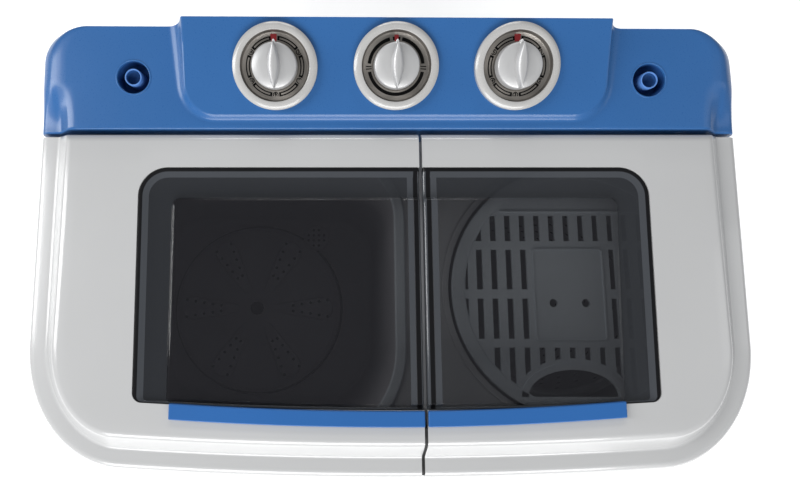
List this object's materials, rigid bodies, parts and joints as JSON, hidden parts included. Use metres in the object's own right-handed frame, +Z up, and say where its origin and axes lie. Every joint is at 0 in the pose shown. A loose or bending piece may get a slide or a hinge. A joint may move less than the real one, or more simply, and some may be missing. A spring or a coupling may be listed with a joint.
{
  "type": "twin tub washer",
  "caption": "Compact twin tub washing machine: wash tub with pulsator, spin basket with slotted cover, two smoky lids, tilted panel with dials.",
  "frame": {"origin": "on the floor under the middle of the machine's bounding box", "axes": "+Z up; +X to the right seen from the front, the long way of the machine; -Y is the front"},
  "size_m": [0.6, 0.3716, 0.6318],
  "materials": {
    "white": "gloss",
    "cabinet_white": "gloss",
    "blue": "gloss",
    "grip_blue": "satin",
    "smoke": "smoky tinted plastic, gloss",
    "inner": "satin",
    "cover": "satin",
    "knob": "satin",
    "dish": "metallic paint",
    "dark": "matt",
    "rubber": "matt",
    "steel": "satin",
    "motor": "painted",
    "alloy": "satin"
  },
  "bodies": {
    "machine": {"base_tray": "dark", "foot_front_left": "rubber", "foot_front_right": "rubber", "foot_rear_left": "rubber", "foot_rear_right": "rubber", "cabinet_shell": "cabinet_white", "rear_cover": "white", "tub_deck": "inner", "wash_tub": "inner", "spin_tub": "inner", "control_panel": "blue", "inlet_spigot_wash": "blue", "inlet_spigot_spin": "blue", "dial_ring_wash": "dish", "dial_ring_selector": "dish", "dial_ring_spin": "dish", "wash_timer": "dark", "drain_selector_switch": "dark", "spin_timer": "dark", "wash_motor": "motor", "wash_gearbox": "alloy", "v_belt": "rubber", "spin_motor": "motor", "spin_motor_spring_1": "steel", "spin_motor_spring_2": "steel", "spin_motor_spring_3": "steel", "spin_bellows_seal": "rubber", "capacitor": "inner", "lid_switch": "dark", "drain_valve_body": "dark", "drain_pipe": "dark", "drain_outlet": "dark", "drain_grille": "inner", "cable_gland": "dark", "hinge_bracket_wash_outer": "steel", "hinge_bracket_wash_inner": "steel", "hinge_bracket_spin_inner": "steel", "hinge_bracket_spin_outer": "steel"},
    "wash_lid": {"wash_lid_frame": "white", "wash_lid_window": "smoke", "wash_lid_grip": "grip_blue", "wash_lid_hinge_pin": "steel"},
    "spin_lid": {"spin_lid_frame": "white", "spin_lid_window": "smoke", "spin_lid_grip": "grip_blue", "spin_lid_hinge_pin": "steel"},
    "safety_cover": {"spin_safety_cover": "cover"},
    "pulsator_drive": {"pulsator": "inner", "pulsator_screw": "steel", "wash_shaft": "steel", "wash_pulley": "alloy"},
    "motor_pulley": {"wash_motor_pulley": "alloy"},
    "spin_rotor": {"spin_basket": "steel", "spin_shaft": "steel"},
    "wash_knob": {"wash_timer_knob": "knob"},
    "selector": {"selector_knob": "knob"},
    "spin_knob": {"spin_timer_knob": "knob"},
    "brake": {"brake_lever": "steel"},
    "drain_plunger": {"drain_valve_plunger": "rubber"}
  },
  "joints": [
    {"name": "wash_lid_hinge", "type": "hinge", "parent": "machine", "child": "wash_lid", "pos_m": [-0.137, 0.0875, 0.582], "axis": [-1, 0, 0], "range_deg": [0, 95]},
    {"name": "spin_lid_hinge", "type": "hinge", "parent": "machine", "child": "spin_lid", "pos_m": [0.163, 0.0875, 0.582], "axis": [-1, 0, 0], "range_deg": [0, 95]},
    {"name": "safety_cover_hinge", "type": "hinge", "parent": "machine", "child": "safety_cover", "pos_m": [0.1651, 0.085, 0.5605], "axis": [-1, 0, 0], "range_deg": [0, 80]},
    {"name": "pulsator_spin", "type": "hinge", "parent": "machine", "child": "pulsator_drive", "pos_m": [-0.15, -0.0431, 0.287], "axis": [0, 0, 1], "continuous": true},
    {"name": "motor_pulley_spin", "type": "hinge", "parent": "machine", "child": "motor_pulley", "pos_m": [-0.232, 0.062, 0.15], "axis": [0, 0, 1], "continuous": true},
    {"name": "basket_spin", "type": "hinge", "parent": "machine", "child": "spin_rotor", "pos_m": [0.1651, -0.0361, 0.205], "axis": [0, 0, 1], "continuous": true},
    {"name": "wash_timer_turn", "type": "hinge", "parent": "machine", "child": "wash_knob", "pos_m": [-0.0958, 0.1463, 0.60672], "axis": [0, -0.3317, 0.9434], "range_deg": [-300, 0]},
    {"name": "selector_turn", "type": "hinge", "parent": "machine", "child": "selector", "pos_m": [0.0045, 0.1463, 0.60672], "axis": [0, -0.3317, 0.9434], "range_deg": [-180, 0]},
    {"name": "spin_timer_turn", "type": "hinge", "parent": "machine", "child": "spin_knob", "pos_m": [0.1048, 0.1463, 0.60672], "axis": [0, -0.3317, 0.9434], "range_deg": [-300, 0]},
    {"name": "brake_lever_turn", "type": "hinge", "parent": "machine", "child": "brake", "pos_m": [0.2201, -0.0816, 0.166], "axis": [0, 0, -1], "range_deg": [0, 5]},
    {"name": "drain_plunger_lift", "type": "slide", "parent": "machine", "child": "drain_plunger", "axis": [0, 0, 1], "range_m": [0, 0.012]}
  ],
  "couplings": [
    {"joint": "safety_cover_hinge", "follows": "spin_lid_hinge", "ratio": 0.842},
    {"joint": "brake_lever_turn", "follows": "spin_lid_hinge", "ratio": 0.0526},
    {"joint": "motor_pulley_spin", "follows": "pulsator_spin", "ratio": 3},
    {"joint": "drain_plunger_lift", "follows": "selector_turn", "m_per_rad": -0.003819}
  ]
}
